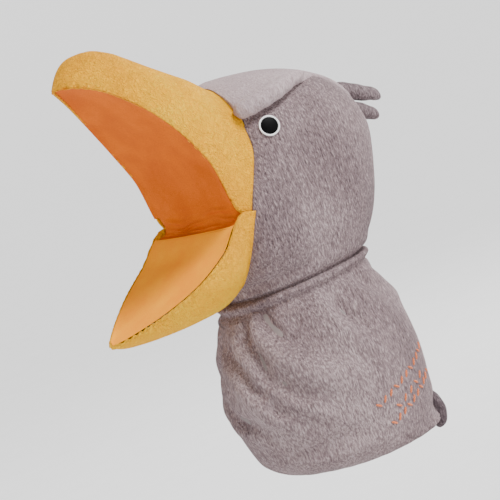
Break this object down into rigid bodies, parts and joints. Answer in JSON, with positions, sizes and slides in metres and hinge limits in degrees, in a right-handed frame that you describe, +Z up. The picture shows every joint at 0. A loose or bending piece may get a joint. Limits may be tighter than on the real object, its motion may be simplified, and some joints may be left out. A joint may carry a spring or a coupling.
{
  "type": "moving mouth bird hand puppet",
  "caption": "Plush bird hand puppet with a sleeve for the arm, a nodding head, a wide beak that opens, crest feathers and a small tail.",
  "frame": {"origin": "centre of the round arm opening, in the plane of the hem", "axes": "+Z up along the sleeve to the head, -Y the way the beak points, +X the bird's left"},
  "size_m": [0.1282, 0.2712, 0.3547],
  "materials": {
    "grey_plush": "short pile",
    "dark_plush": "short pile",
    "yellow_plush": "short pile",
    "orange_velour": "short velour",
    "board": "plain",
    "lining": "plain weave",
    "filling": "loose fibre",
    "orange_thread": "thread",
    "eye_white": "smooth",
    "eye_black": "smooth",
    "tape": "plain weave"
  },
  "bodies": {
    "sleeve": {"sleeve_left_panel": "grey_plush", "sleeve_right_panel": "grey_plush", "shoulder_left_panel": "grey_plush", "shoulder_right_panel": "grey_plush", "sleeve_lining": "lining", "hem_facing": "lining", "stitched_motif": "orange_thread"},
    "neck": {"neck_seam_tape": "tape", "neck_seam_cord": "tape"},
    "head": {"crown_panel": "grey_plush", "head_left_panel": "grey_plush", "head_right_panel": "grey_plush", "jowl_left_panel": "grey_plush", "jowl_right_panel": "grey_plush", "head_filling": "filling", "hand_lining": "lining", "eye_ring_left": "eye_white", "eye_ring_right": "eye_white", "pupil_left": "eye_black", "pupil_right": "eye_black", "brow_left": "grey_plush", "brow_right": "grey_plush", "upper_beak_cover": "yellow_plush", "palate_lining": "orange_velour", "palate_board": "board", "upper_beak_filling": "filling", "finger_pocket": "lining", "mouth_fold": "orange_velour"},
    "jaw": {"lower_beak_cover": "yellow_plush", "jaw_lining": "orange_velour", "jaw_board": "board", "lower_beak_filling": "filling", "thumb_pocket": "lining"},
    "crest_upper": {"crest_upper_cover": "dark_plush", "crest_upper_filling": "filling"},
    "crest_lower": {"crest_lower_cover": "dark_plush", "crest_lower_filling": "filling"},
    "tail": {"tail_cover": "dark_plush", "tail_filling": "filling"}
  },
  "joints": [
    {"name": "neck_turn", "type": "hinge", "parent": "sleeve", "child": "neck", "pos_m": [0, -0.013, 0.1355], "axis": [0, 0, 1], "range_deg": [-25, 25], "deforming": ["shoulder_left_panel", "shoulder_right_panel", "jowl_left_panel", "jowl_right_panel"]},
    {"name": "head_nod", "type": "hinge", "parent": "neck", "child": "head", "pos_m": [0, -0.013, 0.1355], "axis": [1, 0, 0], "range_deg": [-18, 18], "deforming": ["shoulder_left_panel", "shoulder_right_panel", "jowl_left_panel", "jowl_right_panel"]},
    {"name": "jaw_hinge", "type": "hinge", "parent": "head", "child": "jaw", "pos_m": [0, -0.065, 0.1945], "axis": [-1, 0, 0], "range_deg": [-8, 84]},
    {"name": "crest_upper_flex", "type": "hinge", "parent": "head", "child": "crest_upper", "pos_m": [0, 0.077, 0.241], "axis": [1, 0, 0], "range_deg": [-3, 25], "stiffness_Nm_per_rad": 0.02},
    {"name": "crest_lower_flex", "type": "hinge", "parent": "head", "child": "crest_lower", "pos_m": [0, 0.0815, 0.225], "axis": [1, 0, 0], "range_deg": [-18, 5], "stiffness_Nm_per_rad": 0.02},
    {"name": "tail_flex", "type": "hinge", "parent": "sleeve", "child": "tail", "pos_m": [0, 0.054, 0.013], "axis": [1, 0, 0], "range_deg": [-3, 35], "stiffness_Nm_per_rad": 0.02}
  ]
}
